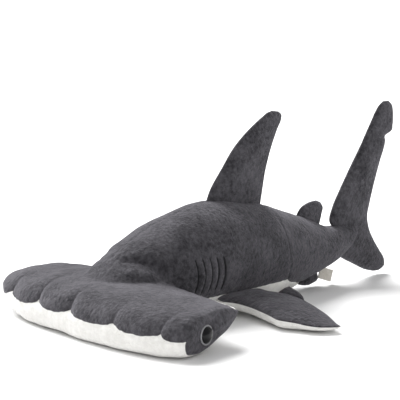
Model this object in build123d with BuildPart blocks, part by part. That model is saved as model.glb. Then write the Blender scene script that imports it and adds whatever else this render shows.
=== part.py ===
from build123d import *
import os
from math import cos, radians, sin

# Plush hammerhead shark lying on its belly: stuffed fabric panels around polyester filling.
# Millimetres. The head faces -Y, the tail is at +Y, the shark's left side is +X, the floor is z = 0.
# The origin is on the flat rest patch of the belly, under the middle of the body.

os.makedirs("parts", exist_ok=True)

# ---------------------------------------------------------------- driving dimensions
BODY_SKIN = 2.0            # body and head fabric, with its pile
FIN_SKIN = 1.5             # fin fabric, with its pile
GAP = 0.4                  # running clearance between pieces on different bodies

# Body envelope from the nose of the neck to the end of the tail stem:
# (y, top z, bottom z, half width). Bottoms below zero are cut flat by the floor.
BODY_STATIONS = [
    (-166, 40.0, 9.0, 28.0),
    (-152, 55.0, 5.5, 35.0),
    (-135, 69.5, 4.5, 39.0),
    (-118, 79.5, 3.5, 41.0),
    (-95, 88.0, -2.0, 44.0),
    (-60, 98.5, -4.0, 47.0),
    (-20, 105.8, -4.0, 48.0),
    (20, 100.6, -4.0, 46.0),
    (52, 95.5, -2.5, 42.0),
    (80, 84.0, 2.5, 36.0),
    (105, 76.0, 9.0, 30.0),
    (130, 65.5, 15.0, 23.5),
    (145, 61.0, 19.0, 19.3),
    (160, 60.3, 24.5, 14.8),
    (178, 60.5, 36.0, 9.5),
    (192, 61.0, 51.0, 4.0),
]
SIDE_SEAM_Z = 19.0         # seam between flank and belly, at the front end
SIDE_SEAM_RISE = 1.2       # degrees that this seam climbs towards the tail
SIDE_SEAM_START_Y = -100.0
FLANK_SEAM_Y = 56.0        # upright seam between front and rear flank

# Hammer: (distance along x, front edge y, rear edge y, low z, top z)
HAMMER_STATIONS = [
    (0, -177.5, -90.0, 2.2, 47.0),
    (45, -175.5, -90.0, 2.2, 46.0),
    (92, -168.0, -88.0, 2.4, 43.5),
]
TIP_X, TIP_Y = 133.0, -121.5     # middle of the seam of an end cap
TIP_SWEEP = 15.0                 # degrees that an end cap faces rearwards
TIP_HALF_CHORD = 37.0
TIP_LOW, TIP_TOP = 4.0, 37.5
CAP_CROWN = 3.0                  # how far an end cap stands out
CAP_CROWN_SCALE = 0.8
CAP_CENTRE_Z = 20.0
# outline of a hammer section: share of the chord, share of the height
WING_ALONG = (0.0, 0.08, 0.34, 0.72, 1.0, 0.73, 0.40, 0.11)
WING_RISE = (0.34, 0.77, 0.98, 0.99, 0.86, 0.37, 0.03, 0.0)
HEAD_SEAM_FRONT_Z, HEAD_SEAM_REAR_Z = 16.0, 36.0

# Neck joint: nodding about X. Tail joint: swinging about Z.
NECK_Y, NECK_Z, NECK_RADIUS = -118.0, 41.5, 38.5
TORSO_FRONT_Y = -108.0
TAIL_Y, TAIL_RADIUS = 152.0, 17.6
TORSO_REAR_Y = 144.0

# Eyes
EYE_ALONG, EYE_Z = -15.0, 18.5   # place on the end cap, from its middle
EYE_RADIUS, EYE_HEIGHT = 7.5, 4.5
EYE_SPHERE = (EYE_RADIUS**2 + EYE_HEIGHT**2) / (2 * EYE_HEIGHT)
EYE_RING_RADIUS, EYE_RING_HEIGHT = 9.0, 1.6
SHANK_RADIUS, SHANK_LENGTH = 2.2, 11.0
WASHER_RADIUS, WASHER_THICK = 7.0, 1.5
SHANK_GAP = 0.05

# Gill stitching: five embroidered lines a side
GILL_COUNT, GILL_FIRST_Y, GILL_PITCH = 5, -67.5, 8.1
GILL_LOW_Z, GILL_TOP_Z, GILL_WIDTH, GILL_PROUD = 27.0, 60.0, 1.6, 0.8

# Care label: a folded ribbon under the tail stem
LABEL_X, LABEL_Y, LABEL_TOP_Z = 4.0, 129.5, 13.8
LABEL_WIDTH, LABEL_DROP, LABEL_THICK, LABEL_FOLD = 13.0, 9.0, 0.5, 2.2
LABEL_SLOPE = 15.0         # degrees that it climbs with the stem
LABEL_CORNER, LABEL_INNER_CORNER = 1.0, 0.4

# Fins: (span, leading edge, trailing edge, thickness), measured from the middle of the hinge line
FIN_LIFT = 2.2             # the fabric of a fin starts this far above its hinge line
DORSAL = [
    (FIN_LIFT, -34.5, 34.5, 13),
    (29.5, -21, 36, 13),
    (54, -6.3, 40.1, 11.5),
    (73.5, 12.4, 46.3, 9),
    (84, 25, 50.5, 6.5),
    (90, 36, 46, 3.4),
]
SECOND_DORSAL = [(FIN_LIFT, -17, 17, 8.5), (11, -12, 15.8, 8), (17.7, -3.4, 14.3, 6), (21, 3, 10, 3.4)]
ANAL = [(FIN_LIFT, -15, 11.5, 7.5), (5, -11, 11.5, 7), (8.5, -5, 11, 5.5), (10.5, 0, 9.5, 3.4)]
PECTORAL = [
    (FIN_LIFT, -27, 27, 12),
    (30, -20, 29, 17),
    (60, -18, 27, 16),
    (88, -12, 21, 11),
    (105, -5, 17, 6),
    (113, 4, 13, 3.4),
]
PELVIC = [(FIN_LIFT, -12, 12, 8), (10, -7, 11.5, 8), (17, -2, 10.5, 5.6), (21, 2, 8.5, 3.4)]

# Hinge lines of the fins: middle point and slope in degrees
DORSAL_AT, DORSAL_SLOPE = (0, 18, 101), -8.4
SECOND_DORSAL_AT, SECOND_DORSAL_SLOPE = (0, 118.5, 70.8), -22.7
ANAL_AT, ANAL_SLOPE = (0, 116.5, 11.5), 13.5
PECTORAL_AT, PECTORAL_DROOP = (43, -5, 14.5), 5.0
PELVIC_AT, PELVIC_DROOP = (28, 57, 8.5), 18.0

# Tail fin, in level slices: (z, leading edge y, trailing edge y, thickness)
TAIL_FIN = [
    (4.5, 215, 225, 3.4),
    (9, 202, 231, 6),
    (16, 185, 230.5, 9),
    (26, 165, 223, 12),
    (40, 163, 213, 14),
    (54, 158, 206.5, 14),
    (64, 150, 205, 14),
    (78, 153.5, 208, 14),
    (95, 163.5, 213, 13),
    (120, 180, 222, 12),
    (143, 196, 230, 11),
    (158, 205, 239.5, 9.5),
    (172, 214, 240.5, 7.5),
    (180, 220, 238, 5.4),
    (184, 226, 233.5, 3.4),
]
FILLING_GAP = 0.05         # between the tail fin's filling and its fabric

REACH = 400.0              # larger than the shark, for cutting tools


def direction(degrees_up):
    """Unit vector in the YZ plane, from +Y up towards +Z."""
    return Vector(0, cos(radians(degrees_up)), sin(radians(degrees_up)))


def drooping(degrees_down):
    """Unit vector in the XZ plane, from +X down towards the floor."""
    return Vector(cos(radians(degrees_down)), 0, -sin(radians(degrees_down)))


# ---------------------------------------------------------------- body envelope and cutters
def body_envelope(inset):
    with BuildPart() as envelope:
        for y, top, bottom, half_width in BODY_STATIONS:
            level = Plane(origin=(0, y, (top + bottom) / 2), x_dir=(1, 0, 0), z_dir=(0, 1, 0))
            with BuildSketch(level):
                Ellipse(half_width - inset, (top - bottom) / 2 - inset)
        loft()
        floor = Plane.XY.offset(inset)
        split(bisect_by=floor, keep=Keep.TOP)
    return envelope.part


def neck_tool(radius, front_y):
    """Everything in front of front_y, and the cylinder that the head nods on."""
    with BuildPart() as tool:
        with Locations((0, front_y - REACH / 2, 0)):
            Box(REACH, REACH, REACH)
        with BuildSketch(Plane(origin=(0, NECK_Y, NECK_Z), x_dir=(0, 1, 0), z_dir=(1, 0, 0))):
            Circle(radius)
        extrude(amount=REACH / 2, both=True)
    return tool.part


def tail_tool(radius, rear_y):
    """Everything behind rear_y, and the cylinder that the tail swings on."""
    with BuildPart() as tool:
        with Locations((0, rear_y + REACH / 2, 0)):
            Box(REACH, REACH, REACH)
        with BuildSketch(Plane(origin=(0, TAIL_Y, 0))):
            Circle(radius)
        extrude(amount=REACH / 2, both=True)
    return tool.part


# ---------------------------------------------------------------- fins
def fin_plane(origin, chord, span):
    """Plane of a fin's hinge line: local x along the chord, local z along the span."""
    return Plane(origin=origin, x_dir=chord, z_dir=span)


def fin_envelope(root, stations, inset):
    with BuildPart() as fin:
        last = len(stations) - 1
        for index, (span, lead, trail, thick) in enumerate(stations):
            shift = inset if index == last else 0
            with BuildSketch(root.offset(span - shift)):
                with Locations(((lead + trail) / 2, 0)):
                    Ellipse(thick / 2 - inset, (trail - lead) / 2 - inset, rotation=90)
        loft()
    return fin.part


def fin_pieces(root, stations):
    """The two fabric panels of a fin and its filling."""
    outer = fin_envelope(root, stations, 0)
    inner = fin_envelope(root, stations, FIN_SKIN)
    middle = Plane(origin=root.origin, x_dir=root.x_dir, z_dir=root.y_dir)
    panels = []
    for side in (Keep.TOP, Keep.BOTTOM):
        with BuildPart() as panel:
            add(outer)
            add(inner, mode=Mode.SUBTRACT)
            split(bisect_by=middle, keep=side)
        panels.append(panel.part)
    return panels[0], panels[1], inner


def write(part, name):
    part.label = name
    export_step(part, f"parts/{name}.step")


def mirrored(part):
    with BuildPart() as twin:
        add(part)
        mirror(about=Plane.YZ, mode=Mode.REPLACE)
    return twin.part


UPRIGHT = 90
DORSAL_ROOT = fin_plane(DORSAL_AT, direction(DORSAL_SLOPE), direction(DORSAL_SLOPE + UPRIGHT))
SECOND_DORSAL_ROOT = fin_plane(
    SECOND_DORSAL_AT, direction(SECOND_DORSAL_SLOPE), direction(SECOND_DORSAL_SLOPE + UPRIGHT)
)
ANAL_ROOT = fin_plane(ANAL_AT, direction(ANAL_SLOPE), direction(ANAL_SLOPE - UPRIGHT))
PECTORAL_ROOT = fin_plane(PECTORAL_AT, (0, 1, 0), drooping(PECTORAL_DROOP))
PELVIC_ROOT = fin_plane(PELVIC_AT, (0, 1, 0), drooping(PELVIC_DROOP))

# ---------------------------------------------------------------- torso
body_outer = body_envelope(0)
body_inner = body_envelope(BODY_SKIN)

with BuildPart() as sockets:
    add(neck_tool(NECK_RADIUS + GAP, TORSO_FRONT_Y))
    add(tail_tool(TAIL_RADIUS + GAP, TORSO_REAR_Y))

with BuildPart() as torso_stuffing:
    add(body_inner)
    add(sockets.part, mode=Mode.SUBTRACT)
write(torso_stuffing.part, "torso_stuffing")

with BuildPart() as torso_skin:
    add(body_outer)
    add(body_inner, mode=Mode.SUBTRACT)
    add(sockets.part, mode=Mode.SUBTRACT)

SIDE_SEAM = Plane(
    origin=(0, SIDE_SEAM_START_Y, SIDE_SEAM_Z), x_dir=(1, 0, 0), z_dir=direction(SIDE_SEAM_RISE + UPRIGHT)
)
FLANK_SEAM = Plane(origin=(0, FLANK_SEAM_Y, 0), x_dir=(1, 0, 0), z_dir=(0, 1, 0))
lengths = (("front", Keep.BOTTOM), ("rear", Keep.TOP))
sides = (("left", Keep.TOP), ("right", Keep.BOTTOM))

for length_name, length_keep in lengths:
    with BuildPart() as belly:
        add(torso_skin.part)
        split(bisect_by=SIDE_SEAM, keep=Keep.BOTTOM)
        split(bisect_by=FLANK_SEAM, keep=length_keep)
    write(belly.part, f"belly_{length_name}")
    for side_name, side_keep in sides:
        with BuildPart() as flank:
            add(torso_skin.part)
            split(bisect_by=SIDE_SEAM, keep=Keep.TOP)
            split(bisect_by=FLANK_SEAM, keep=length_keep)
            split(bisect_by=Plane.YZ, keep=side_keep)
        write(flank.part, f"flank_{length_name}_{side_name}")

# ---------------------------------------------------------------- gill stitching
with BuildPart() as gill_slabs:
    for i in range(GILL_COUNT):
        with Locations((0, GILL_FIRST_Y + i * GILL_PITCH, (GILL_LOW_Z + GILL_TOP_Z) / 2)):
            Box(REACH, GILL_WIDTH, GILL_TOP_Z - GILL_LOW_Z)

for side_name, side_keep in sides:
    with BuildPart() as gill_stitching:
        add(body_envelope(-GILL_PROUD))
        add(body_outer, mode=Mode.SUBTRACT)
        add(gill_slabs.part, mode=Mode.INTERSECT)
        split(bisect_by=Plane.YZ, keep=side_keep)
    write(gill_stitching.part, f"gill_stitching_{side_name}")

# ---------------------------------------------------------------- care label
with BuildPart() as care_label:
    label_end = Plane(origin=(LABEL_X, LABEL_Y, LABEL_TOP_Z), x_dir=(1, 0, 0), z_dir=direction(LABEL_SLOPE))
    inner_fold, inner_drop = LABEL_FOLD - 2 * LABEL_THICK, LABEL_DROP - 2 * LABEL_THICK
    with BuildSketch(label_end):
        with Locations((0, LABEL_DROP / 2)):
            RectangleRounded(LABEL_FOLD, LABEL_DROP, LABEL_CORNER)
            RectangleRounded(inner_fold, inner_drop, LABEL_INNER_CORNER, mode=Mode.SUBTRACT)
    extrude(amount=LABEL_WIDTH)
write(care_label.part, "care_label")


# ---------------------------------------------------------------- head
def wing_outline(front, rear, low, top):
    chord, height = rear - front, top - low
    return [(front + along * chord, low + up * height) for along, up in zip(WING_ALONG, WING_RISE)]


def tip_plane(side):
    """Plane of an end cap's seam: local x runs rearwards along the cap, local y is up."""
    sweep = radians(TIP_SWEEP)
    rearwards = (-side * sin(sweep), cos(sweep), 0)
    outwards = (cos(sweep), side * sin(sweep), 0)
    return Plane(origin=(side * TIP_X, TIP_Y, 0), x_dir=rearwards, z_dir=outwards)


def hammer_envelope(inset):
    tip = (-TIP_HALF_CHORD + inset, TIP_HALF_CHORD - inset, TIP_LOW + inset, TIP_TOP - inset)
    sections = [(tip_plane(-1), tip)]
    mirror_stations = [(-x, *edges) for x, *edges in reversed(HAMMER_STATIONS[1:])]
    for x, front, rear, low, top in mirror_stations + HAMMER_STATIONS:
        level = Plane(origin=(x, 0, 0), x_dir=(0, 1, 0), z_dir=(1, 0, 0))
        sections.append((level, (front + inset, rear - 2 * inset, low + inset, top - inset)))
    sections.append((tip_plane(1), tip))
    with BuildPart() as hammer:
        for level, edges in sections:
            with BuildSketch(level):
                with BuildLine():
                    Spline(*wing_outline(*edges), periodic=True)
                make_face()
        loft()
        add(body_outer if inset == 0 else body_inner)
        add(neck_tool(NECK_RADIUS, NECK_Y), mode=Mode.INTERSECT)
    return hammer.part


head_outer = hammer_envelope(0)
head_inner = hammer_envelope(BODY_SKIN)
seam_tilt = HEAD_SEAM_REAR_Z - HEAD_SEAM_FRONT_Z
seam_run = HAMMER_STATIONS[0][2] - HAMMER_STATIONS[0][1]
HEAD_SEAM = Plane(origin=(0, HAMMER_STATIONS[0][1], HEAD_SEAM_FRONT_Z), x_dir=(1, 0, 0),
                  z_dir=(0, -seam_tilt, seam_run))

for head_name, head_keep in (("head_top", Keep.TOP), ("head_underside", Keep.BOTTOM)):
    with BuildPart() as head_skin:
        add(head_outer)
        add(head_inner, mode=Mode.SUBTRACT)
        split(bisect_by=HEAD_SEAM, keep=head_keep)
    write(head_skin.part, head_name)


def eye_plane(side, out):
    """Plane at the eye's centre, out from the end cap's seam, facing away from the head."""
    cap = tip_plane(side)
    centre = cap.from_local_coords((EYE_ALONG, EYE_Z, side * out))
    return Plane(origin=centre, x_dir=cap.x_dir, z_dir=side * cap.z_dir)


with BuildPart() as head_stuffing:
    add(head_inner)
    for side in (-1, 1):
        with BuildSketch(eye_plane(side, 0)):
            Circle(WASHER_RADIUS)
        extrude(amount=-WASHER_THICK, mode=Mode.SUBTRACT)
        with BuildSketch(eye_plane(side, 0)):
            Circle(SHANK_RADIUS + SHANK_GAP)
        extrude(amount=-SHANK_LENGTH, mode=Mode.SUBTRACT)
write(head_stuffing.part, "head_stuffing")

for side_name, side in (("left", 1), ("right", -1)):
    with BuildPart() as end_cap:
        for out, scale_by in ((0, 1), (CAP_CROWN, CAP_CROWN_SCALE)):
            with BuildSketch(tip_plane(side).offset(side * out)):
                with BuildLine():
                    outline = wing_outline(-TIP_HALF_CHORD, TIP_HALF_CHORD, TIP_LOW, TIP_TOP)
                    drawn = [(u * scale_by, CAP_CENTRE_Z + (v - CAP_CENTRE_Z) * scale_by) for u, v in outline]
                    Spline(*drawn, periodic=True)
                make_face()
        loft()
        with BuildSketch(eye_plane(side, 0)):
            Circle(SHANK_RADIUS + SHANK_GAP)
        extrude(amount=CAP_CROWN, mode=Mode.SUBTRACT)
    write(end_cap.part, f"end_cap_{side_name}")

    with BuildPart() as eye_ring:
        with BuildSketch(eye_plane(side, CAP_CROWN)):
            Circle(EYE_RING_RADIUS)
            Circle(EYE_RADIUS, mode=Mode.SUBTRACT)
        extrude(amount=EYE_RING_HEIGHT)
    write(eye_ring.part, f"eye_ring_{side_name}")

    with BuildPart() as eye:
        face = eye_plane(side, CAP_CROWN)
        with Locations(face.offset(EYE_HEIGHT - EYE_SPHERE)):
            Sphere(EYE_SPHERE)
        split(bisect_by=face, keep=Keep.TOP)
        with BuildSketch(face):
            Circle(SHANK_RADIUS)
        extrude(amount=-SHANK_LENGTH)
    write(eye.part, f"eye_{side_name}")

    with BuildPart() as eye_washer:
        with BuildSketch(eye_plane(side, 0)):
            Circle(WASHER_RADIUS)
            Circle(SHANK_RADIUS + SHANK_GAP, mode=Mode.SUBTRACT)
        extrude(amount=-WASHER_THICK)
    write(eye_washer.part, f"eye_washer_{side_name}")

# ---------------------------------------------------------------- fins on the torso
upright_fins = (
    ("dorsal_fin", DORSAL_ROOT, DORSAL),
    ("second_dorsal_fin", SECOND_DORSAL_ROOT, SECOND_DORSAL),
    ("anal_fin", ANAL_ROOT, ANAL),
)
for name, root, stations in upright_fins:
    first, second, filling = fin_pieces(root, stations)
    flip = first.center().X < second.center().X
    write(second if flip else first, f"{name}_left")
    write(first if flip else second, f"{name}_right")
    write(filling, f"{name}_stuffing")

paired_fins = (("pectoral_fin", PECTORAL_ROOT, PECTORAL), ("pelvic_fin", PELVIC_ROOT, PELVIC))
for name, root, stations in paired_fins:
    first, second, filling = fin_pieces(root, stations)
    flip = first.center().Z < second.center().Z
    upper, lower = (second, first) if flip else (first, second)
    for piece, piece_name in ((upper, "top"), (lower, "underside"), (filling, "stuffing")):
        write(piece, f"{name}_left_{piece_name}")
        write(mirrored(piece), f"{name}_right_{piece_name}")


# ---------------------------------------------------------------- tail
def tail_fin_envelope(inset):
    with BuildPart() as fin:
        last = len(TAIL_FIN) - 1
        for index, (z, lead, trail, thick) in enumerate(TAIL_FIN):
            shift = inset if index == 0 else -inset if index == last else 0
            with BuildSketch(Plane.XY.offset(z + shift)):
                with Locations((0, (lead + trail) / 2)):
                    Ellipse(thick / 2 - inset, (trail - lead) / 2 - inset)
        loft()
    return fin.part


tail_region = tail_tool(TAIL_RADIUS, TAIL_Y)
with BuildPart() as stem_outer:
    add(body_outer)
    add(tail_region, mode=Mode.INTERSECT)
with BuildPart() as tail_stem_stuffing:
    add(body_inner)
    add(tail_region, mode=Mode.INTERSECT)
write(tail_stem_stuffing.part, "tail_stem_stuffing")

tail_outer = tail_fin_envelope(0)
tail_inner = tail_fin_envelope(FIN_SKIN)
with BuildPart() as tail_fin_stuffing:
    add(tail_fin_envelope(FIN_SKIN + FILLING_GAP))
    add(stem_outer.part, mode=Mode.SUBTRACT)
write(tail_fin_stuffing.part, "tail_fin_stuffing")

for side_name, side_keep in sides:
    with BuildPart() as tail_stem:
        add(stem_outer.part)
        add(tail_stem_stuffing.part, mode=Mode.SUBTRACT)
        split(bisect_by=Plane.YZ, keep=side_keep)
    write(tail_stem.part, f"tail_stem_{side_name}")
    with BuildPart() as tail_fin:
        add(tail_outer)
        add(tail_inner, mode=Mode.SUBTRACT)
        add(stem_outer.part, mode=Mode.SUBTRACT)
        split(bisect_by=Plane.YZ, keep=side_keep)
    write(tail_fin.part, f"tail_fin_{side_name}")
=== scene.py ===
from math import cos, pi, radians, sin

import bmesh
import bpy
import numpy as np
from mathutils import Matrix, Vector


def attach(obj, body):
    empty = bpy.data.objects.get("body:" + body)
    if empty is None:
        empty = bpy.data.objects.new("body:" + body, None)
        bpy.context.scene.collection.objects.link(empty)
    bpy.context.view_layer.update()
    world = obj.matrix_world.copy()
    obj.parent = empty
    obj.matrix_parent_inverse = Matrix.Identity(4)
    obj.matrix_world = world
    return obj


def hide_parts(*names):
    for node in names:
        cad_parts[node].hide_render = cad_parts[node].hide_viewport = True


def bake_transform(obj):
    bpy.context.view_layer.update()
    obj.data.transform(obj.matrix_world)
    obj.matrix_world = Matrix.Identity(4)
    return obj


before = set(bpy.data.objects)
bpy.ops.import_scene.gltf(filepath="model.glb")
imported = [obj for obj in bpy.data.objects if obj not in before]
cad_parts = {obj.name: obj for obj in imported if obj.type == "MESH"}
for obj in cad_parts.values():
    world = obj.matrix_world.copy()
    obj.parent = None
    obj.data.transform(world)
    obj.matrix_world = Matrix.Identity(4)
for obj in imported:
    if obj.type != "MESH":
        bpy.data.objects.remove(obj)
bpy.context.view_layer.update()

# Plush hammerhead shark. All shape functions work in millimetres, in the frame's axes:
# the head faces -Y, the tail is at +Y, the shark's left side is +X. Meshes are made in metres.
MM = 0.001
VOXEL = 1.5


# ------------------------------------------------------------------ small maths
def smooth(x, low, high):
    """0 below low, 1 above high, smooth between."""
    t = np.clip((x - low) / (high - low), 0.0, 1.0)
    return t * t * (3.0 - 2.0 * t)


def curve(x, knots, values):
    """Smooth curve through the knots: cubic Hermite with slopes from the neighbours."""
    knots, values = np.asarray(knots, float), np.asarray(values, float)
    slopes = np.gradient(values, knots)
    x = np.clip(x, knots[0], knots[-1])
    i = np.clip(np.searchsorted(knots, x, side="right") - 1, 0, len(knots) - 2)
    h = knots[i + 1] - knots[i]
    t = (x - knots[i]) / h
    return (
        values[i] * (1 + 2 * t) * (1 - t) ** 2
        + slopes[i] * h * t * (1 - t) ** 2
        + values[i + 1] * t * t * (3 - 2 * t)
        + slopes[i + 1] * h * t * t * (t - 1)
    )


def closed_curve(points, count):
    """Closed Catmull-Rom curve through points, sampled count times."""
    points = np.asarray(points, float)
    n = len(points)
    t = np.linspace(0, n, count, endpoint=False)
    i = t.astype(int)
    f = (t - i)[:, None]
    p0, p1, p2, p3 = (points[(i + k) % n] for k in (-1, 0, 1, 2))
    return 0.5 * (
        2 * p1 + (p2 - p0) * f + (2 * p0 - 5 * p1 + 4 * p2 - p3) * f**2 + (3 * p1 - p0 - 3 * p2 + p3) * f**3
    )


def hash01(*cells):
    """Repeatable random numbers from 0 to 1 for whole-number cells."""
    h = np.zeros_like(cells[0], dtype=np.uint64)
    for k, c in enumerate(cells):
        cell = c.astype(np.int64).astype(np.uint64)
        h = h * np.uint64(6364136223846793005) + (cell + np.uint64(1013904223 + k))
        h ^= h >> np.uint64(29)
        h *= np.uint64(0x9E3779B97F4A7C15)
        h ^= h >> np.uint64(31)
    return (h >> np.uint64(40)).astype(float) / float(1 << 24)


def noise(points, size, seed=0):
    """Smooth value noise from -1 to 1 with features about size across."""
    q = points / size
    base = np.floor(q)
    f = q - base
    f = f * f * (3 - 2 * f)
    total = np.zeros(len(points))
    for dx in (0, 1):
        for dy in (0, 1):
            for dz in (0, 1):
                corner = np.array((dx, dy, dz))
                share = np.where(corner, f, 1 - f)
                cell = base + corner
                w = share[:, 0] * share[:, 1] * share[:, 2]
                total += w * hash01(cell[:, 0], cell[:, 1], cell[:, 2], np.full(len(points), seed))
    return 2 * total - 1


# ------------------------------------------------------------------ the body's lines
BODY_Y = [-166, -152, -135, -118, -95, -60, -20, 20, 52, 80, 105, 130, 145, 160, 178, 192]
BODY_TOP = [30, 45, 60.5, 71.8, 83.6, 95, 103.5, 99.6, 94.5, 83.8, 76, 65.5, 61, 60.3, 60.5, 61]
BODY_LOW = [9, 5.5, 4.5, 3.5, -2, -4, -4, -4, -2.5, 2.5, 9, 15, 19, 24.5, 36, 51]
BODY_WIDE = [25, 32, 37, 41, 44, 47, 48, 46, 42, 36, 30, 23.5, 19.3, 14.8, 9.5, 4]
# the hammer: its front edge along x, and a section's outline as shares of chord and height
FRONT_X = (0, 40, 70, 95, 115, 133, 142)
FRONT_Y = (-191, -191, -188.5, -183, -175, -163, -157)
WING_ALONG = (0.0, 0.05, 0.16, 0.36, 0.70, 0.93, 1.0, 0.75, 0.41, 0.10, 0.015)
WING_RISE = (0.38, 0.68, 0.88, 0.98, 0.99, 0.88, 0.74, 0.34, 0.02, 0.0, 0.10)
HAMMER_HALF, HAMMER_CHORD = 142.0, 95.0
TIP_X, TIP_Y, TIP_SWEEP, CAP_CROWN = 133.0, -121.5, radians(15), 3.2
VALLEYS = (-90.0, -38.0, 12.0, 73.0, 124.0)
# the right end of the hammer curls up from the floor: the rise at distances from the middle
CURL_X = (60, 88, 112, 130, 142)
CURL_RISE = (0, 4.5, 8, 13.5, 15)
CURL_TOP = 32.0
# the upright seam between front and rear flank, the gill stitches, and panel thicknesses
FLANK_SEAM_Y = 56
GILLS, GILL_FIRST_Y, GILL_PITCH, GILL_BOW = 5, -67.5, 8.1, 2.6
GILL_LOW, GILL_HIGH, THREAD_RADIUS = 27.5, 59.5, 0.95
BODY_FABRIC, FIN_FABRIC, RIBBON_FABRIC = 1.6, 1.2, 0.25
HEAD_GAP, BODY_GAP, FILLING_MERGE = 9.0, 6.0, 0.02


def body_tube():
    ys = np.linspace(BODY_Y[0], BODY_Y[-1], 190)
    top, low, wide = (curve(ys, BODY_Y, v) for v in (BODY_TOP, BODY_LOW, BODY_WIDE))
    angle = np.linspace(0, 2 * pi, 120, endpoint=False)
    x = wide[:, None] * np.cos(angle)
    z = (top + low)[:, None] / 2 + (top - low)[:, None] / 2 * np.sin(angle)
    z = 0.5 * (z + np.sqrt(z * z + 2.0))
    y = np.broadcast_to(ys[:, None], x.shape)
    return np.stack([x, y, z], -1)


def front_edge(x):
    return curve(np.abs(x), FRONT_X, FRONT_Y)


def hammer_loft():
    rings = []
    spread = np.sin(np.linspace(-pi / 2, pi / 2, 121) * 0.985)
    for s in spread:
        x = s * TIP_X
        side = np.sign(x)
        share = (x / HAMMER_HALF) ** 2
        front, rear = front_edge(x), -90.0 + 4.2 * share
        low, top = 1.0 + 2.0 * share**2, 46.0 - 9.3 * share
        points = [(front + a * (rear - front), low + r * (top - low)) for a, r in zip(WING_ALONG, WING_RISE)]
        outline = closed_curve(points, 96)
        slant = smooth(abs(x), 70, TIP_X)
        along = outline[:, 0] - TIP_Y
        rings.append(np.stack([x - side * sin(TIP_SWEEP) * slant * along, outline[:, 0], outline[:, 1]], 1))
    for end, side in ((0, -1), (-1, 1)):
        rim = rings[end]
        centre = rim.mean(0)
        out = np.array([side * cos(TIP_SWEEP), sin(TIP_SWEEP), 0])
        bulge = (CAP_CROWN + 3.5 * smooth(rim[:, 1], -118, -92))[:, None]
        crown = []
        for t in np.linspace(0.12, 1, 10):
            shrink = cos(t * pi / 2) ** 0.55 if t < 1 else 0.02
            crown.append(centre + (rim - centre) * shrink + out * bulge * sin(t * pi / 2))
        rings = rings + crown if side > 0 else crown[::-1] + rings
    return np.array(rings)


# ------------------------------------------------------------------ meshes
def link(name, vertices, faces):
    mesh = bpy.data.meshes.new(name)
    mesh.from_pydata((np.asarray(vertices) * MM).tolist(), [], [list(map(int, f)) for f in faces])
    mesh.validate()
    piece = bpy.data.objects.new(name, mesh)
    bpy.context.scene.collection.objects.link(piece)
    return piece


def ring_faces(count, around, closed=True):
    faces = []
    for i in range(count - 1):
        for j in range(around if closed else around - 1):
            k = (j + 1) % around
            faces.append((i * around + j, i * around + k, (i + 1) * around + k, (i + 1) * around + j))
    return faces


def tube_object(name, rings):
    count, around = rings.shape[:2]
    faces = ring_faces(count, around)
    faces.append(tuple(range(around))[::-1])
    faces.append(tuple(range((count - 1) * around, count * around)))
    return link(name, rings.reshape(-1, 3), faces)


def read(mesh):
    points = np.empty(len(mesh.vertices) * 3)
    mesh.vertices.foreach_get("co", points)
    return points.reshape(-1, 3) / MM


def write(mesh, points):
    mesh.vertices.foreach_set("co", (points * MM).ravel())
    mesh.update()


def normals(mesh):
    out = np.empty(len(mesh.vertices) * 3)
    mesh.vertices.foreach_get("normal", out)
    return out.reshape(-1, 3)


def relax(mesh, rounds):
    """Smooths without shrinking: each round moves points in, then slightly further out."""
    edges = np.empty(len(mesh.edges) * 2, dtype=np.int64)
    mesh.edges.foreach_get("vertices", edges)
    a, b = edges[0::2], edges[1::2]
    points = read(mesh)
    degree = np.bincount(np.concatenate([a, b]), minlength=len(points))[:, None]
    for amount in (0.5, -0.53) * rounds:
        total = np.zeros_like(points)
        for k in range(3):
            total[:, k] = np.bincount(a, points[b, k], len(points))
            total[:, k] += np.bincount(b, points[a, k], len(points))
        points = points + amount * (total / degree - points)
    write(mesh, points)


def apply_modifiers(piece):
    bpy.context.view_layer.objects.active = piece
    for other in bpy.context.selected_objects:
        other.select_set(False)
    piece.select_set(True)
    for modifier in list(piece.modifiers):
        bpy.ops.object.modifier_apply(modifier=modifier.name)


def face_outward(piece, merge=None):
    """Turns a closed mesh's faces outward, after merging vertices closer than merge."""
    bm = bmesh.new()
    bm.from_mesh(piece.data)
    if merge:
        bmesh.ops.remove_doubles(bm, verts=bm.verts, dist=merge * MM)
    bmesh.ops.recalc_face_normals(bm, faces=bm.faces)
    bm.to_mesh(piece.data)
    bm.free()


def union_skin():
    """Body and hammer as one closed skin with a soft fillet between them."""
    body = tube_object("body_form", body_tube())
    hammer = tube_object("hammer_form", hammer_loft())
    for other in bpy.context.selected_objects:
        other.select_set(False)
    body.select_set(True)
    hammer.select_set(True)
    bpy.context.view_layer.objects.active = body
    bpy.ops.object.join()
    face_outward(body)
    remesh = body.modifiers.new("remesh", "REMESH")
    remesh.mode = "VOXEL"
    remesh.voxel_size = VOXEL * MM
    apply_modifiers(body)
    relax(body.data, 10)
    return body


def lobe(x):
    """0 in the valleys between the hammer's front lobes, 1 at a lobe's middle."""
    edges = np.array((-150.0, *VALLEYS, 150.0))
    i = np.clip(np.searchsorted(edges, x, side="right") - 1, 0, len(edges) - 2)
    t = (x - edges[i]) / (edges[i + 1] - edges[i])
    return np.sin(pi * np.clip(t, 0, 1)) ** 0.5


def head_seam(p):
    """Signed height above the seam between the grey top and the white underside of the hammer."""
    x, y, z = p.T
    along = (y - front_edge(x)) / HAMMER_CHORD
    at_front = smooth(along, 0.45, 0.1)
    line = 26.0 - 4.0 * (x / HAMMER_HALF) ** 2 - 5.5 * lobe(x) * at_front + 11.0 * smooth(along, 0.15, 1.0)
    return z - line - 0.7 * noise(p, 3.2, 8)


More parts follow.
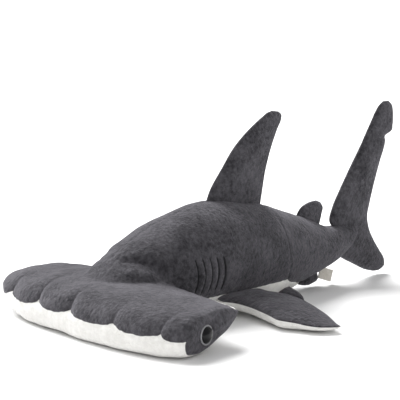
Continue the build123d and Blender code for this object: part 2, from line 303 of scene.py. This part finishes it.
def neck_seam(p):
    """Signed distance behind the seam between head and body."""
    x, y, z = p.T
    wide = np.abs(x)
    return y - (-130.5 + 0.0165 * np.minimum(wide, 42.0) ** 2 + 4.5 * np.maximum(wide - 42.0, 0.0))


def side_seam(p):
    """Signed height above the seam between grey flank and white belly."""
    x, y, z = p.T
    low = np.maximum(curve(y, BODY_Y, BODY_LOW), 0.0)
    line = np.where(y < 60, 19.0 + 0.021 * (y + 100), low + 21.0 * np.clip((100 - y) / 40, 0, 1) ** 0.8)
    return z - line - 0.5 * noise(p, 3.2, 9)


def cap_left(p):
    """Signed distance beyond the seam between the head and its left end cap."""
    return (p[:, 0] - TIP_X) * cos(TIP_SWEEP) + (p[:, 1] - TIP_Y) * sin(TIP_SWEEP)


def cap_right(p):
    return (-p[:, 0] - TIP_X) * cos(TIP_SWEEP) + (p[:, 1] - TIP_Y) * sin(TIP_SWEEP)


def gill_line(i, z):
    """Y of the gill stitch number i at height z."""
    return GILL_FIRST_Y + GILL_PITCH * i + GILL_BOW * (1 - ((z - 44) / 18) ** 2)


def flank_seam(p):
    """Signed distance behind the upright seam between the front and rear flank."""
    return p[:, 1] - FLANK_SEAM_Y - 1.5 * np.sin(p[:, 2] / 17)


def groove(distance, width, depth):
    return -depth * np.exp(-((distance / width) ** 2))


def sculpt(skin):
    """Stuffing lumps, lobes, folds, seams and stitching, moved along the normals."""
    p, n = read(skin.data), normals(skin.data)
    x, y, z = p.T
    wide = np.abs(x)
    is_head = neck_seam(p) < 0
    move = 0.8 * noise(p, 26, 1) + 0.4 * noise(p, 11, 2)
    # lobes along the hammer's front, and the valleys that run back over its top
    along = (y - front_edge(x)) / HAMMER_CHORD
    above = smooth(head_seam(p), -5, 2)
    near_seam = smooth(head_seam(p), 22, 0)
    reach = (0.35 + 0.65 * near_seam) * smooth(along, 0.55, 0.05) * above * is_head
    move += reach * (6.0 * lobe(x) - 4.6) * (1.0 - 0.5 * smooth(x, 0, 100))
    # shoulder folds at the neck
    shoulder = smooth(wide, 6, 24) * smooth(z, 30, 50) * (0.4 + 0.6 * smooth(x, -25, 5))
    move += shoulder * groove(neck_seam(p), 5.0, 4.2)
    move += smooth(wide, 12, 26) * smooth(z, 34, 50) * groove(neck_seam(p) + 13 - 0.2 * wide, 3.5, 1.3)
    # seams
    body = ~is_head
    move += body * groove(side_seam(p), 2.0, 1.1) * smooth(y, 135, 120)
    move += body * groove(x, 1.6, 0.7) * smooth(z, 30, 50)
    move += body * groove(flank_seam(p), 1.5, 0.7) * smooth(side_seam(p), 0, 3)
    move += is_head * groove(head_seam(p), 1.8, 0.9)
    move += is_head * (groove(cap_left(p), 1.7, 1.0) + groove(cap_right(p), 1.7, 1.0))
    # wrinkles in the side, running round the body
    ripple = np.sin(y / 5.5 + 1.7 * noise(p, 30, 5)) * smooth(noise(p, 34, 6), 0.0, 0.6)
    move += body * 0.35 * ripple * smooth(z, 20, 40)
    # grooves that the gill threads lie in
    for i in range(GILLS):
        near = smooth(np.abs(z - 43.5), 18.5, 16.0) * (wide > 20) * body
        move += near * groove(y - gill_line(i, z), 1.5, 1.2)
    p = p + n * move[:, None]
    # the right end of the hammer is thinner, set back, and a little clear of the floor
    far = smooth(-x, 90, 145)
    p[:, 1] += 10.5 * far * smooth(along, 0.7, 0.0)
    p[:, 2] += 0.3 * far * (22.5 - p[:, 2]) * smooth(along, 1.0, 0.4)
    p[:, 2] += np.interp(-x, CURL_X, CURL_RISE) * np.clip(1 - p[:, 2] / CURL_TOP, 0, 1)
    p[:, 2] = np.maximum(p[:, 2], 0.05)
    write(skin.data, p)


def cut(bm, field):
    """Cut the mesh along field = 0, and return the faces on the side where field is above 0."""
    bm.verts.ensure_lookup_table()
    points = np.array([v.co for v in bm.verts]) / MM
    values = field(points)
    values[np.abs(values) < 1e-3] = 1e-3
    layer = bm.verts.layers.float.get("field") or bm.verts.layers.float.new("field")
    for v, value in zip(bm.verts, values):
        v[layer] = value
    crossing = [e for e in bm.edges if e.verts[0][layer] * e.verts[1][layer] < 0]
    fresh = {}
    for e in crossing:
        a, b = e.verts
        share = a[layer] / (a[layer] - b[layer])
        _, new = bmesh.utils.edge_split(e, a, min(max(share, 0.02), 0.98))
        new[layer] = 0.0
        fresh[new] = True
    # dictionaries keep their order, so the mesh comes out the same on each run
    for f in dict.fromkeys(f for v in fresh for f in v.link_faces):
        ends = [v for v in f.verts if v in fresh]
        if len(ends) == 2:
            bmesh.ops.connect_verts(bm, verts=ends, check_degenerate=False)
        elif len(ends) > 2:
            bmesh.ops.connect_verts(bm, verts=ends[:2], check_degenerate=False)
    return {f for f in bm.faces if sum(v[layer] for v in f.verts) > 0}


def split_off(piece, field, name_above, name_below):
    """Two new pieces from one, along field = 0."""
    bm = bmesh.new()
    bm.from_mesh(piece.data)
    chosen = cut(bm, field)
    made = []
    for name, keep in ((name_above, True), (name_below, False)):
        copy = bm.copy()
        copy.faces.ensure_lookup_table()
        bm.faces.ensure_lookup_table()
        bm.faces.index_update()
        drop = [copy.faces[f.index] for f in bm.faces if (f in chosen) != keep]
        bmesh.ops.delete(copy, geom=drop, context="FACES")
        mesh = bpy.data.meshes.new(name)
        copy.to_mesh(mesh)
        copy.free()
        new = bpy.data.objects.new(name, mesh)
        bpy.context.scene.collection.objects.link(new)
        made.append(new)
    bm.free()
    bpy.data.objects.remove(piece)
    return made


def thicken(piece, thickness):
    solid = piece.modifiers.new("thickness", "SOLIDIFY")
    solid.thickness = thickness * MM
    solid.offset = -1
    solid.use_even_offset = False
    apply_modifiers(piece)


# ------------------------------------------------------------------ materials
def plush(name, dark, light, sheen, sheen_tint):
    material = bpy.data.materials.new(name)
    material.use_nodes = True
    nodes, links = material.node_tree.nodes, material.node_tree.links
    shader = nodes["Principled BSDF"]
    place = nodes.new("ShaderNodeTexCoord")

    def texture(scale, detail, rough=0.6):
        node = nodes.new("ShaderNodeTexNoise")
        node.inputs["Scale"].default_value = scale
        node.inputs["Detail"].default_value = detail
        node.inputs["Roughness"].default_value = rough
        links.new(place.outputs["Object"], node.inputs["Vector"])
        return node

    tuft = texture(260, 4)
    patch = texture(38, 3)
    mixed = nodes.new("ShaderNodeMath")
    mixed.operation = "MULTIPLY_ADD"
    mixed.inputs[1].default_value = 0.45
    links.new(patch.outputs["Fac"], mixed.inputs[0])
    scaled = nodes.new("ShaderNodeMath")
    scaled.operation = "MULTIPLY"
    scaled.inputs[1].default_value = 0.55
    links.new(tuft.outputs["Fac"], scaled.inputs[0])
    links.new(scaled.outputs[0], mixed.inputs[2])
    ramp = nodes.new("ShaderNodeValToRGB")
    ramp.color_ramp.elements[0].position = 0.38
    ramp.color_ramp.elements[0].color = (*dark, 1)
    ramp.color_ramp.elements[1].position = 0.62
    ramp.color_ramp.elements[1].color = (*light, 1)
    links.new(mixed.outputs[0], ramp.inputs["Fac"])
    links.new(ramp.outputs["Color"], shader.inputs["Base Color"])
    shader.inputs["Roughness"].default_value = 0.95
    shader.inputs["Specular IOR Level"].default_value = 0.12
    shader.inputs["Sheen Weight"].default_value = sheen
    shader.inputs["Sheen Roughness"].default_value = 0.45
    shader.inputs["Sheen Tint"].default_value = (*sheen_tint, 1)
    pile = texture(900, 3, 0.7)
    clump = texture(320, 2)
    height = nodes.new("ShaderNodeMath")
    height.operation = "MULTIPLY_ADD"
    height.inputs[1].default_value = 1.6
    links.new(clump.outputs["Fac"], height.inputs[0])
    links.new(pile.outputs["Fac"], height.inputs[2])
    bump = nodes.new("ShaderNodeBump")
    bump.inputs["Strength"].default_value = 1.0
    bump.inputs["Distance"].default_value = 0.0009
    links.new(height.outputs[0], bump.inputs["Height"])
    links.new(bump.outputs["Normal"], shader.inputs["Normal"])
    return material


def plastic(name, colour, roughness, shine=0.5):
    material = bpy.data.materials.new(name)
    material.use_nodes = True
    shader = material.node_tree.nodes["Principled BSDF"]
    nodes, links = material.node_tree.nodes, material.node_tree.links
    place = nodes.new("ShaderNodeTexCoord")
    grain = nodes.new("ShaderNodeTexNoise")
    grain.inputs["Scale"].default_value = 700
    links.new(place.outputs["Object"], grain.inputs["Vector"])
    bump = nodes.new("ShaderNodeBump")
    bump.inputs["Strength"].default_value = 0.03
    bump.inputs["Distance"].default_value = 0.0002
    links.new(grain.outputs["Fac"], bump.inputs["Height"])
    links.new(bump.outputs["Normal"], shader.inputs["Normal"])
    shader.inputs["Base Color"].default_value = (*colour, 1)
    shader.inputs["Roughness"].default_value = roughness
    shader.inputs["Specular IOR Level"].default_value = shine
    return material


GREY = plush("grey_plush", (0.021, 0.0203, 0.0233), (0.084, 0.081, 0.090), 0.34, (0.74, 0.72, 0.79))
WHITE = plush("white_plush", (0.76, 0.75, 0.72), (0.88, 0.87, 0.845), 0.25, (1.0, 1.0, 1.0))
THREAD = plush("thread", (0.012, 0.012, 0.014), (0.03, 0.03, 0.033), 0.1, (0.5, 0.5, 0.5))
RIBBON = plush("ribbon", (0.66, 0.62, 0.55), (0.78, 0.74, 0.68), 0.2, (1.0, 1.0, 1.0))
FILLING = plush("filling", (0.72, 0.72, 0.70), (0.86, 0.86, 0.84), 0.2, (1.0, 1.0, 1.0))
EYE = plastic("eye", (0.0015, 0.0015, 0.002), 0.22, 0.22)
RIM = plastic("eye_rim", (0.24, 0.24, 0.25), 0.35)
WASHER = plastic("eye_washer", (0.55, 0.55, 0.53), 0.45)


def finish_piece(piece, material, nodes, fill=0.8):
    """Name, material and smooth shading of a piece that stands for CAD nodes, and hides those nodes."""
    piece.name = f"soft_{nodes[0]}" if fill is not None else f"detailed_{nodes[0]}"
    piece.data.materials.clear()
    piece.data.materials.append(material)
    for polygon in piece.data.polygons:
        polygon.use_smooth = True
    piece.data.set_sharp_from_angle(angle=radians(55))
    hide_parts(*nodes)


# ------------------------------------------------------------------ body and head
NECK_BLEND = ("torso", "head", (0, -0.088, 0.045), (0, -0.128, 0.045))
TAIL_BLEND = ("torso", "tail", (0, 0.138, 0.040), (0, 0.172, 0.040))


def make_skin():
    skin = union_skin()
    sculpt(skin)
    body, head = split_off(skin, neck_seam, "body", "head")
    left_cap, head = split_off(head, cap_left, "end_cap_left", "head_rest")
    right_cap, head = split_off(head, cap_right, "end_cap_right", "head_rest")
    top, under = split_off(head, head_seam, "head_top", "head_underside")
    rear, front = split_off(body, flank_seam, "rear", "front")
    for part, name, blend in ((front, "front", NECK_BLEND), (rear, "rear", TAIL_BLEND)):
        upper, belly = split_off(part, side_seam, "upper", f"belly_{name}")
        left, right = split_off(upper, lambda p: p[:, 0], f"flank_{name}_left", f"flank_{name}_right")
        for piece, side in ((left, "left"), (right, "right")):
            thicken(piece, BODY_FABRIC)
            stem = [f"tail_stem_{side}"] if name == "rear" else []
            finish_piece(piece, GREY, [f"flank_{name}_{side}", *stem])
            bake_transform(piece)
        thicken(belly, BODY_FABRIC)
        finish_piece(belly, WHITE, [f"belly_{name}"])
        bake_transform(belly)
    for piece, material, slot, node in (
        (top, GREY, "grey_plush", "head_top"), (under, WHITE, "white_plush", "head_underside"),
        (left_cap, GREY, "grey_plush", "end_cap_left"), (right_cap, GREY, "grey_plush", "end_cap_right"),
    ):
        thicken(piece, BODY_FABRIC)
        finish_piece(piece, material, [node])
        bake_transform(piece)


make_skin()


# ------------------------------------------------------------------ fins
def fin_sheet(frame_of, stations, side, rows=70, columns=46, puff=1.0, seed=0):
    """One fabric panel of a fin: a crowned sheet from leading to trailing edge.
    frame_of maps (chord, thickness, span) to a point. A puff above 1 also blunts the edges."""
    spans, leads, trails, thicks = (np.array(v, float) for v in zip(*stations))
    roundness = 0.34 if puff > 1 else 0.5
    t = np.sin(np.linspace(0, pi / 2, rows))
    span = spans[0] + (spans[-1] - spans[0]) * t
    lead, trail, thick = (curve(span, spans, v) for v in (leads, trails, thicks))
    u = -np.cos(np.linspace(0, pi, columns))
    chord = (lead + trail)[:, None] / 2 + (trail - lead)[:, None] / 2 * u
    lift = (1 - u**2) ** roundness * thick[:, None] / 2 * puff
    closing = np.sqrt(np.clip(1 - np.clip((span - (spans[-1] - 4)) / 4, 0, 1) ** 2, 0, 1))[:, None]
    lift = lift * np.maximum(closing, 0.02)
    points = frame_of(chord.ravel(), (side * lift).ravel(), np.repeat(span, columns))
    wobble = 0.5 * noise(points, 18, seed) + 0.25 * noise(points, 8, seed + 1)
    edge = ((1 - u**2) ** 0.5)[None, :] * np.ones((rows, 1))
    uneven = lift + wobble.reshape(lift.shape) * edge * closing
    moved = frame_of(chord.ravel(), (side * uneven).ravel(), np.repeat(span, columns))
    moved[:, 2] = np.maximum(moved[:, 2], 0.1)
    return moved, ring_faces(rows, columns, closed=False)


def orient_out(piece, outward):
    bm = bmesh.new()
    bm.from_mesh(piece.data)
    total = Vector((0, 0, 0))
    for f in bm.faces:
        total += f.normal * f.calc_area()
    if total.dot(Vector(outward)) < 0:
        bmesh.ops.reverse_faces(bm, faces=bm.faces)
    bm.to_mesh(piece.data)
    bm.free()


def axis_frame(origin, chord, span):
    origin, chord, span = (np.array(v, float) for v in (origin, chord, span))
    across = np.cross(span, chord)
    return (lambda c, t, s: origin + c[:, None] * chord + t[:, None] * across + s[:, None] * span), across


def turn(degrees_up):
    return (0, cos(radians(degrees_up)), sin(radians(degrees_up)))


# upright fins: hinge line's middle, chord and span directions, and stations of
# (span, leading edge, trailing edge, thickness)
FINS = {
    "dorsal_fin": (
        (0, 18, 101), turn(-8.4), turn(81.6),
        [(-5, -35.2, 35.4, 13), (8, -31.6, 35.8, 13.2), (29.5, -19.8, 36.9, 13),
         (54, -4.9, 41.1, 11.5), (73.5, 13.6, 46.8, 9), (84, 26, 50.6, 6.5),
         (88.5, 32, 49.4, 5), (90.5, 37, 46, 3)],
    ),
    "second_dorsal_fin": (
        (0, 118.8, 70.8), turn(-22.7), turn(67.3),
        [(-4, -18, 17.5, 8.5), (11, -12, 15.8, 8), (17.7, -3.4, 14.3, 6), (21, 3, 10, 3.4)],
    ),
    "anal_fin": (
        (0, 116.5, 11.5), turn(13.5), turn(-76.5),
        [(-4, -15, 15, 7.5), (5, -11, 16, 7), (8.5, -4, 15.5, 5.5), (10.5, 2, 13, 3.4)],
    ),
}
# how steeply each paired fin's span slopes down from level at its hinge line, as an angle
DROOP = {"pectoral_fin": radians(5), "pelvic_fin": radians(18)}
PAIRED = {
    "pectoral_fin": ((43, -5, 16.5),
                     [(-6, -30, 28, 13), (4, -31, 29, 14), (14, -24, 33, 16), (28, -20.5, 37, 18),
                      (42, -20.5, 37, 18.5), (60, -22, 33, 18), (72, -24, 30, 16.5), (88, -16, 25, 12),
                      (101, -11, 19.5, 8.5), (110, -3, 15.5, 5.5), (116, 9, 14, 3)]),
    "pelvic_fin": ((28, 57, 8.5),
                   [(-4, -4, 15, 8), (10, -1, 16, 7.5), (17, 3, 14, 6), (21, 7, 12, 3.4)]),
}


for name, (origin, chord, span, stations) in FINS.items():
    frame_of, across = axis_frame(origin, chord, span)
    for side in (-1, 1):
        points, faces = fin_sheet(frame_of, stations, side, seed=10 + side)
        word = "left" if side * across[0] > 0 else "right"
        piece = link("panel", points, faces)
        orient_out(piece, side * across)
        thicken(piece, FIN_FABRIC)
        finish_piece(piece, GREY, [f"{name}_{word}"])
        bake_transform(piece)

for name, (origin, stations) in PAIRED.items():
    droop = DROOP[name]
    for word, flip in (("left", 1), ("right", -1)):
        place = (flip * origin[0], origin[1], origin[2])
        span = (flip * cos(droop), 0, -sin(droop))
        frame_of, across = axis_frame(place, (0, 1, 0), span)
        for side in (-1, 1):
            upper = side * across[2] > 0
            puff = 1.0 if name == "pelvic_fin" else 0.8 if upper else 1.4
            points, faces = fin_sheet(frame_of, stations, side, puff=puff, seed=20 + side)
            piece = link("panel", points, faces)
            orient_out(piece, side * across)
            thicken(piece, FIN_FABRIC)
            fabric, slot, face = (GREY, "grey_plush", "top") if upper else (WHITE, "white_plush", "underside")
            finish_piece(piece, fabric, [f"{name}_{word}_{face}"])
            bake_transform(piece)

TAIL_FIN = [(4, 214, 225, 3), (7, 203, 231, 6), (11, 194, 232, 8), (16, 184, 231, 9.5), (26, 165, 223.5, 12),
            (40, 163, 213, 14), (54, 158, 206, 14), (64, 150, 204.2, 14), (78, 153.5, 207.3, 14),
            (95, 163.5, 212.5, 13), (120, 180, 221.5, 12), (143, 196, 229.5, 11), (148, 199, 229.5, 10.5),
            (151.5, 201, 238, 10.2), (158, 205, 240.5, 9.5), (166, 210, 241, 8.5), (174, 215, 240.5, 7.5),
            (180, 220, 238.5, 5.4), (184, 225.5, 234, 3)]
frame_of, across = axis_frame((0, 0, 0), (0, 1, 0), (0, 0, 1))
for side in (-1, 1):
    points, faces = fin_sheet(frame_of, TAIL_FIN, side, rows=150, columns=46, seed=30 + side)
    word = "left" if side * across[0] > 0 else "right"
    piece = link("panel", points, faces)
    orient_out(piece, side * across)
    thicken(piece, FIN_FABRIC)
    finish_piece(piece, GREY, [f"tail_fin_{word}"])
    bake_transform(piece)


# ------------------------------------------------------------------ eyes
def lathe(name, profile, centre, axis, segments=64):
    axis = np.array(axis, float)
    up = np.array((0, 0, 1.0))
    side = np.cross(up, axis)
    rings = []
    for radius, height in profile:
        a = np.linspace(0, 2 * pi, segments, endpoint=False)
        rings.append(np.array(centre) + height * axis
                     + radius * (np.cos(a)[:, None] * side + np.sin(a)[:, None] * up))
    piece = tube_object(name, np.array(rings))
    face_outward(piece)
    return piece


EYE_ALONG, EYE_Z, EYE_RADIUS, EYE_HEIGHT = -15.0, 18.5, 7.5, 4.5
for word, flip in (("left", 1), ("right", -1)):
    out = np.array((flip * cos(TIP_SWEEP), sin(TIP_SWEEP), 0))
    along = np.array((-flip * sin(TIP_SWEEP), cos(TIP_SWEEP), 0))
    centre = np.array((flip * TIP_X, TIP_Y, 0)) + EYE_ALONG * along + np.array((0, 0, EYE_Z)) + 3.0 * out
    dome = [(EYE_RADIUS * 0.98, -0.8)] + [
        (EYE_RADIUS * cos(t), 0.3 + EYE_HEIGHT * sin(t)) for t in np.linspace(0, pi / 2 - 0.02, 18)
    ]
    eye = lathe("dome", dome, centre, out)
    finish_piece(eye, EYE, [f"eye_{word}"], fill=None)
    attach(eye, "head")
    middle = (EYE_RADIUS + 9.0) / 2
    rim_profile = [(middle + 0.75 * cos(t), 0.75 + 0.7 * sin(t)) for t in np.linspace(0, 2 * pi, 17)]
    rim = lathe("rim", rim_profile, centre, out)
    finish_piece(rim, RIM, [f"eye_ring_{word}"], fill=None)
    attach(rim, "head")


# ------------------------------------------------------------------ gill thread, label, filling, washers
def gill_threads(flip):
    """Five embroidered lines on one side of the body, as cords lying in their stitched grooves."""
    vertices, faces = [], []
    for i in range(GILLS):
        z = np.linspace(GILL_LOW, GILL_HIGH, 34)
        y = gill_line(i, z)
        top, low, wide = (curve(y, BODY_Y, v) for v in (BODY_TOP, BODY_LOW, BODY_WIDE))
        share = (z - (top + low) / 2) / ((top - low) / 2)
        x = flip * (wide * np.sqrt(1 - share**2) - 0.6)
        middle = np.stack([x, y, z], 1)
        thin = THREAD_RADIUS * np.sin(np.linspace(0.12, pi - 0.12, len(z))) ** 0.4
        angle = np.linspace(0, 2 * pi, 10, endpoint=False)
        circle = np.stack([np.cos(angle), np.sin(angle), 0 * angle], 1)
        rings = middle[:, None, :] + thin[:, None, None] * circle
        start, count, around = len(vertices), *rings.shape[:2]
        vertices.extend(rings.reshape(-1, 3))
        strips = [*ring_faces(count, around), tuple(range(around))[::-1],
                  tuple(range((count - 1) * around, count * around))]
        faces.extend(tuple(start + k for k in face) for face in strips)
    return link("threads", vertices, faces)


for word, flip in (("left", 1), ("right", -1)):
    threads = gill_threads(flip)
    finish_piece(threads, THREAD, [f"gill_stitching_{word}"], fill=None)
    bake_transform(threads)


def care_label():
    """A blank folded ribbon in the seam beside the anal fin: two leaves and the fold at its lower end."""
    leaf = np.array([(131.5, 14.5), (136, 13), (142, 10.8), (148, 8.6), (149.6, 8.8)])
    rows, columns = 26, 12
    t = np.linspace(0, 1, rows)
    path_y = np.interp(t, np.linspace(0, 1, 5), leaf[:, 0])
    path_z = np.interp(t, np.linspace(0, 1, 5), leaf[:, 1])
    points = []
    for side, order in ((1, range(rows)), (-1, range(rows - 1, -1, -1))):
        for k in order:
            for c in np.linspace(-1, 1, columns):
                gap = 0.5 * side * (1 - t[k] ** 6)
                points.append((4.4 + gap + 0.5 * sin(3 * t[k]), path_y[k] + 1.7 * c, path_z[k] + 6.0 * c))
    piece = link("ribbon", points, ring_faces(2 * rows, columns, closed=False))
    thicken(piece, RIBBON_FABRIC)
    return piece


label = care_label()
finish_piece(label, RIBBON, ["care_label"], fill=None)
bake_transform(label)


def inset(rings, gap):
    centre = rings.mean(1, keepdims=True)
    reach = np.linalg.norm(rings - centre, axis=2, keepdims=True)
    return centre + (rings - centre) * np.maximum(reach - gap, 0.1 * reach) / reach


def fill_tube(rings, nodes):
    piece = tube_object("fill", inset(rings, HEAD_GAP if nodes[0] == "head_stuffing" else BODY_GAP))
    face_outward(piece, FILLING_MERGE)
    finish_piece(piece, FILLING, nodes)
    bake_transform(piece)


def fill_fin(frame_of, stations, node):
    """The filling of a fin: both faces of a smaller copy of it, closed at its edges."""
    smaller = [(s, a + 3, b - 3, 0.55 * t) for s, a, b, t in stations[:-1]]
    upper, faces = fin_sheet(frame_of, smaller, 1, seed=40)
    lower, _ = fin_sheet(frame_of, smaller, -1, seed=40)
    both = faces + [tuple(len(upper) + k for k in face[::-1]) for face in faces]
    root = tuple(range(46)) + tuple(len(upper) + k for k in range(44, 0, -1))
    piece = link("fill", np.concatenate([upper, lower]), [*both, root])
    face_outward(piece, FILLING_MERGE)
    finish_piece(piece, FILLING, [node])
    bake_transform(piece)


body_rings = body_tube()
at = body_rings[:, 0, 1]
fill_tube(body_rings[(at > -84) & (at < 143)], ["torso_stuffing"])
fill_tube(body_rings[(at > 144) & (at < 190)], ["tail_stem_stuffing"])
fill_tube(hammer_loft()[12:-12], ["head_stuffing"])
for name, (origin, chord, span, stations) in FINS.items():
    frame_of, _ = axis_frame(origin, chord, span)
    fill_fin(frame_of, stations, f"{name}_stuffing")
for name, (origin, stations) in PAIRED.items():
    for word, flip in (("left", 1), ("right", -1)):
        place = (flip * origin[0], origin[1], origin[2])
        span = (flip * cos(DROOP[name]), 0, -sin(DROOP[name]))
        frame_of, _ = axis_frame(place, (0, 1, 0), span)
        fill_fin(frame_of, stations, f"{name}_{word}_stuffing")
frame_of, _ = axis_frame((0, 0, 0), (0, 1, 0), (0, 0, 1))
fill_fin(frame_of, TAIL_FIN, "tail_fin_stuffing")

for word in ("left", "right"):
    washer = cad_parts[f"eye_washer_{word}"]
    washer.data.materials.clear()
    washer.data.materials.append(WASHER)


# ------------------------------------------------------------------ floor, light and camera
def studio():
    bpy.ops.mesh.primitive_plane_add(size=60, location=(0, 0, 0))
    floor = bpy.context.active_object
    floor.name = "floor"
    material = bpy.data.materials.new("floor")
    material.use_nodes = True
    shader = material.node_tree.nodes["Principled BSDF"]
    shader.inputs["Base Color"].default_value = (0.90, 0.90, 0.90, 1)
    shader.inputs["Roughness"].default_value = 0.8
    shader.inputs["Specular IOR Level"].default_value = 0.1
    floor.data.materials.append(material)

    def area(name, place, size, power, target=(0, 0, 0.05)):
        lamp = bpy.data.lights.new(name, "AREA")
        lamp.energy = power
        lamp.size = size
        lamp.color = (1, 1, 1)
        item = bpy.data.objects.new(name, lamp)
        bpy.context.scene.collection.objects.link(item)
        item.location = place
        item.rotation_euler = (Vector(target) - Vector(place)).to_track_quat("-Z", "Y").to_euler()

    sun = bpy.data.lights.new("key", "SUN")
    sun.energy = 5.8
    sun.angle = radians(40)
    key = bpy.data.objects.new("key", sun)
    bpy.context.scene.collection.objects.link(key)
    key.rotation_euler = (-Vector((-0.9, 0.1, 0.95))).to_track_quat("-Z", "Y").to_euler()
    area("fill", (1.2, -1.6, 0.9), 1.5, 4)
    world = bpy.context.scene.world or bpy.data.worlds.new("world")
    bpy.context.scene.world = world
    world.use_nodes = True
    background = world.node_tree.nodes["Background"]
    background.inputs["Color"].default_value = (1, 1, 1, 1)
    background.inputs["Strength"].default_value = 0.6


def camera():
    azimuth, elevation, distance = radians(50), radians(9.5), 1.5524
    target = Vector((-0.0166, -0.0106, 0.1022))
    back = Vector((sin(azimuth) * cos(elevation), -cos(azimuth) * cos(elevation), sin(elevation)))
    data = bpy.data.cameras.new("camera")
    data.lens = 144
    data.sensor_width = 36
    data.clip_end = 50
    item = bpy.data.objects.new("camera", data)
    bpy.context.scene.collection.objects.link(item)
    item.location = target + back * distance
    item.rotation_euler = (-back).to_track_quat("-Z", "Y").to_euler()
    bpy.context.scene.camera = item


studio()
camera()
bpy.context.scene.view_settings.view_transform = "Standard"
